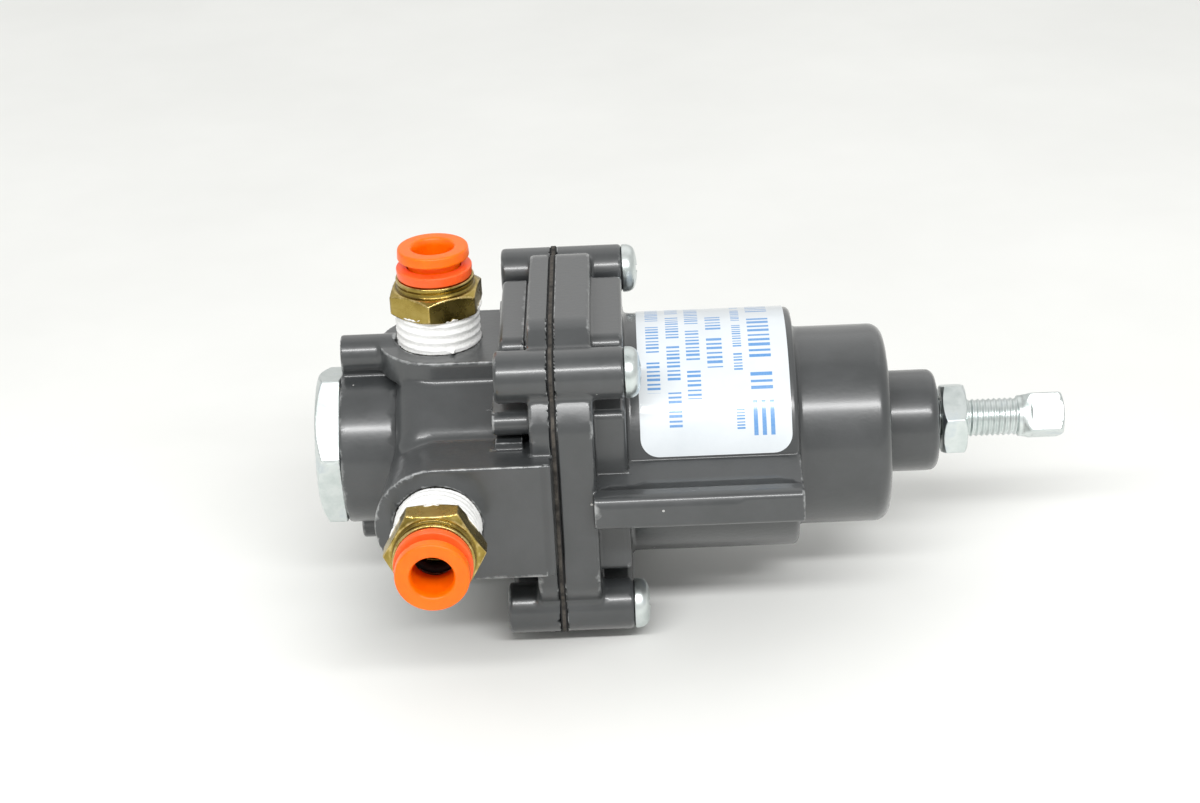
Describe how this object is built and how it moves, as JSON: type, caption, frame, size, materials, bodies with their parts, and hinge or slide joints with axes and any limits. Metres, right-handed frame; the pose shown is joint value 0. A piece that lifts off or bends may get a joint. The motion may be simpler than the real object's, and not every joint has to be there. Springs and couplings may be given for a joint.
{
  "type": "air pressure regulator",
  "caption": "Diaphragm air pressure regulator, screw adjusted, with tapped ports and push-in tube fittings, grey cast body and bonnet.",
  "frame": {"origin": "centre of the bottom hex plug's outer face, on the main axis", "axes": "+X along the main axis from the bottom plug to the adjusting screw, +Z out of the gauge port, -Y out of the inlet port"},
  "size_m": [0.1238, 0.0776, 0.0621],
  "materials": {
    "casting_paint": "semi-gloss grey paint",
    "zinc_plate": "bright zinc plate",
    "spring_steel": "oiled spring steel",
    "brass": "turned, oily olive brass",
    "aluminium": "stamped",
    "rubber": "matte",
    "diaphragm_fabric": "fabric reinforced rubber",
    "ptfe_tape": "wrapped thread tape",
    "orange_plastic": "moulded acetal",
    "salmon_plastic": "moulded acetal",
    "label_film": "glossy white film"
  },
  "bodies": {
    "housing": {"body_casting": "casting_paint", "bonnet": "casting_paint", "diaphragm": "diaphragm_fabric", "range_spring": "spring_steel", "valve_seat": "brass", "valve_spring": "spring_steel", "bottom_plug": "zinc_plate", "plug_o_ring": "rubber", "pipe_plug": "zinc_plate", "nameplate_label": "label_film", "bonnet_screw_1": "zinc_plate", "bonnet_screw_2": "zinc_plate", "bonnet_screw_3": "zinc_plate", "bonnet_screw_4": "zinc_plate", "gauge_fitting_body": "brass", "gauge_thread_tape": "ptfe_tape", "gauge_tube_seal": "rubber", "gauge_collet": "spring_steel", "gauge_guide_ring": "salmon_plastic", "inlet_fitting_body": "brass", "inlet_thread_tape": "ptfe_tape", "inlet_tube_seal": "rubber", "inlet_collet": "spring_steel", "inlet_guide_ring": "salmon_plastic"},
    "spring_seat": {"spring_seat": "zinc_plate"},
    "adjusting_screw": {"adjusting_screw": "zinc_plate"},
    "lock_nut": {"lock_nut": "zinc_plate"},
    "diaphragm_plates": {"relief_seat": "brass", "pressure_plate": "aluminium", "diaphragm_nut": "zinc_plate"},
    "valve": {"valve_poppet": "brass", "valve_face": "rubber"},
    "inlet_button": {"inlet_release_button": "orange_plastic"},
    "gauge_button": {"gauge_release_button": "orange_plastic"}
  },
  "joints": [
    {"name": "spring_seat_travel", "type": "slide", "parent": "housing", "child": "spring_seat", "axis": [1, 0, 0], "range_m": [-0.00635, 0.0019], "deforming": ["range_spring"]},
    {"name": "adjusting_screw_turn", "type": "hinge", "parent": "spring_seat", "child": "adjusting_screw", "pos_m": [0.09, 0, 0], "axis": [1, 0, 0], "range_deg": [-2521, 755]},
    {"name": "lock_nut_backs_off", "type": "slide", "parent": "housing", "child": "lock_nut", "axis": [1, 0, 0], "range_m": [0, 0.00254]},
    {"name": "diaphragm_travel", "type": "slide", "parent": "housing", "child": "diaphragm_plates", "axis": [1, 0, 0], "range_m": [-0.0012, 0], "stiffness_N_per_m": 1500, "deforming": ["diaphragm"]},
    {"name": "valve_travel", "type": "slide", "parent": "housing", "child": "valve", "axis": [1, 0, 0], "range_m": [-0.00125, 0], "deforming": ["valve_spring"]},
    {"name": "inlet_button_press", "type": "slide", "parent": "housing", "child": "inlet_button", "axis": [0, -1, 0], "range_m": [-0.0011, 0], "stiffness_N_per_m": 800},
    {"name": "gauge_button_press", "type": "slide", "parent": "housing", "child": "gauge_button", "axis": [0, 0, 1], "range_m": [-0.0011, 0], "stiffness_N_per_m": 800}
  ],
  "couplings": [
    {"joint": "adjusting_screw_turn", "follows": "spring_seat_travel", "rad_per_m": 6927.4},
    {"joint": "valve_travel", "follows": "diaphragm_travel", "ratio": 1}
  ]
}
